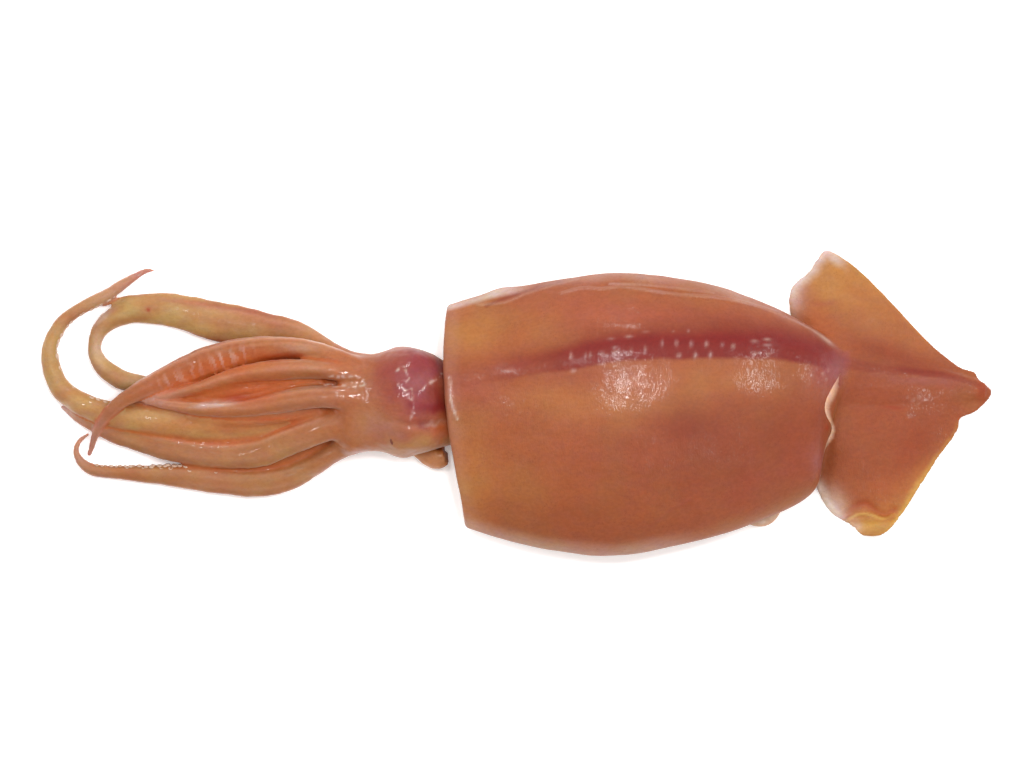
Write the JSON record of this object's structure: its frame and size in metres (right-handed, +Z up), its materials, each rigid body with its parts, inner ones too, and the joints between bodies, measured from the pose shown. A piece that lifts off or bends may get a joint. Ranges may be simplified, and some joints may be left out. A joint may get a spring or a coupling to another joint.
{
  "type": "whole raw squid",
  "caption": "Whole raw squid lying flat: a slack hollow mantle with an open collar, pointed tail with two side fins, rounded head and long tapering arms in loose curls.",
  "frame": {"origin": "on the table under the middle of the part's bounding box", "axes": "+X towards the tip of the tail, the arms trail towards -X; +Y to the animal's right side; +Z up from the belly to the back"},
  "size_m": [0.35, 0.113, 0.0371],
  "materials": {
    "flesh": "wet gloss"
  },
  "bodies": {
    "root": {"squid": "flesh"}
  },
  "joints": []
}
